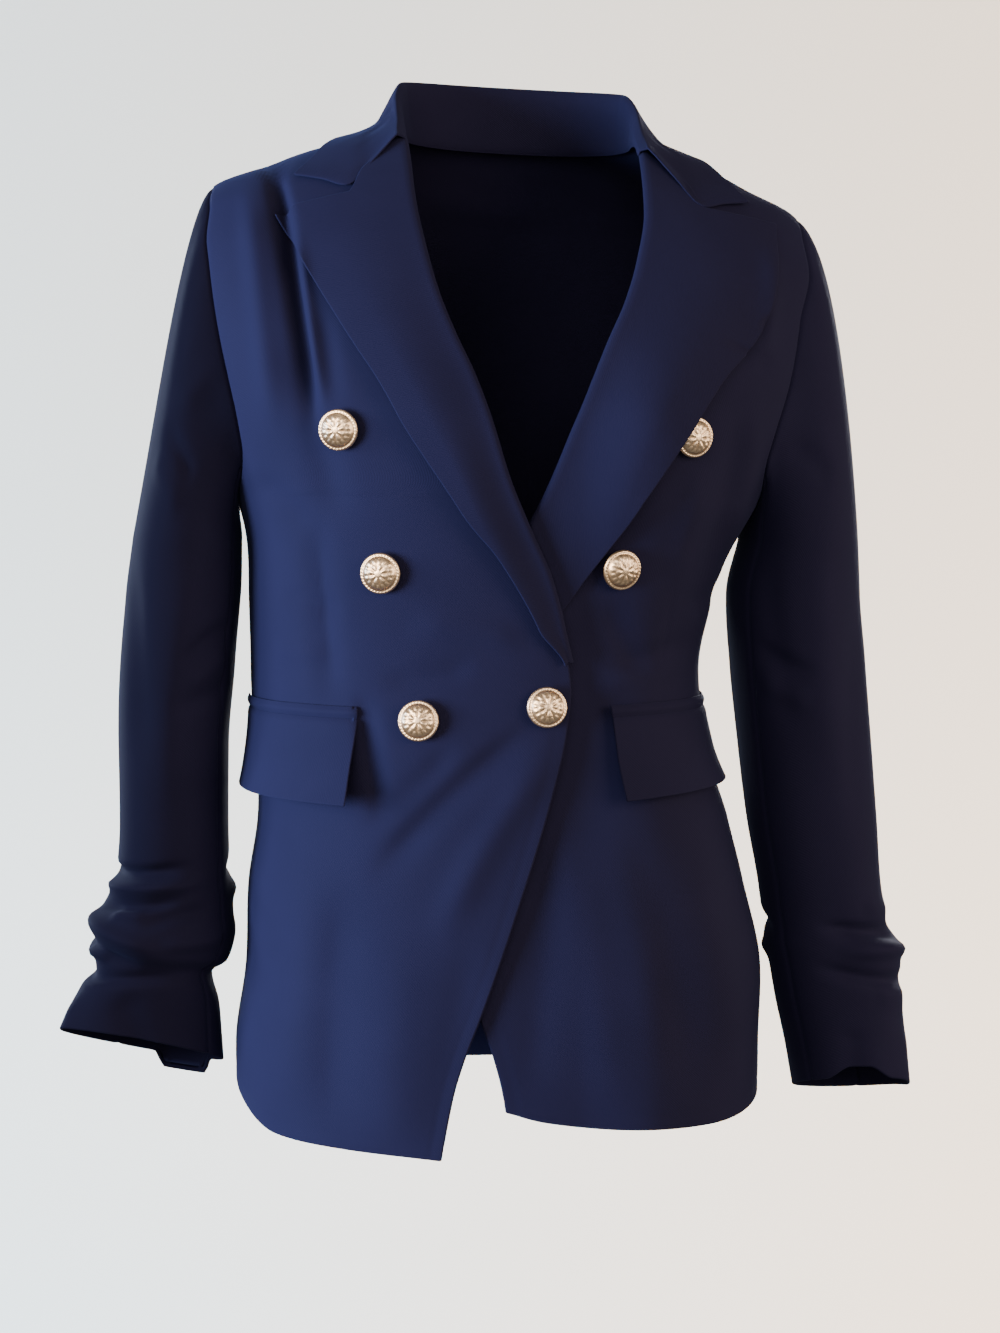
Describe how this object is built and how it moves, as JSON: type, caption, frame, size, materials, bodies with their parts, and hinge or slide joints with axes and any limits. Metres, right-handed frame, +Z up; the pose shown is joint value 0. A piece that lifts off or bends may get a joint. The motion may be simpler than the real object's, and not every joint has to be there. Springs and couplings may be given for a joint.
{
  "type": "double breasted blazer",
  "caption": "Woman's hip-length double-breasted blazer with peak lapels, flap pockets and domed metal buttons, shaped as worn open-necked.",
  "frame": {"origin": "middle of the neck hole at shoulder height, where the wearer's shoulders and neck hold the garment up", "axes": "+Z up the body, -Y the way the chest faces, +X the wearer's left"},
  "size_m": [0.5715, 0.2544, 0.6964],
  "materials": {
    "suiting": "matt fine twill with a faint sheen",
    "button_metal": "polished pale gold"
  },
  "bodies": {
    "root": {"front_right": "suiting", "front_left": "suiting", "back": "suiting", "sleeve_top_right": "suiting", "sleeve_under_right": "suiting", "sleeve_top_left": "suiting", "sleeve_under_left": "suiting", "collar": "suiting", "lapel_right": "suiting", "lapel_left": "suiting", "welt_right": "suiting", "welt_left": "suiting", "flap_right": "suiting", "flap_left": "suiting", "button_right_chest": "button_metal", "button_right_bust": "button_metal", "button_right_waist": "button_metal", "button_closing": "button_metal", "button_left_chest": "button_metal", "button_left_bust": "button_metal"}
  },
  "joints": []
}
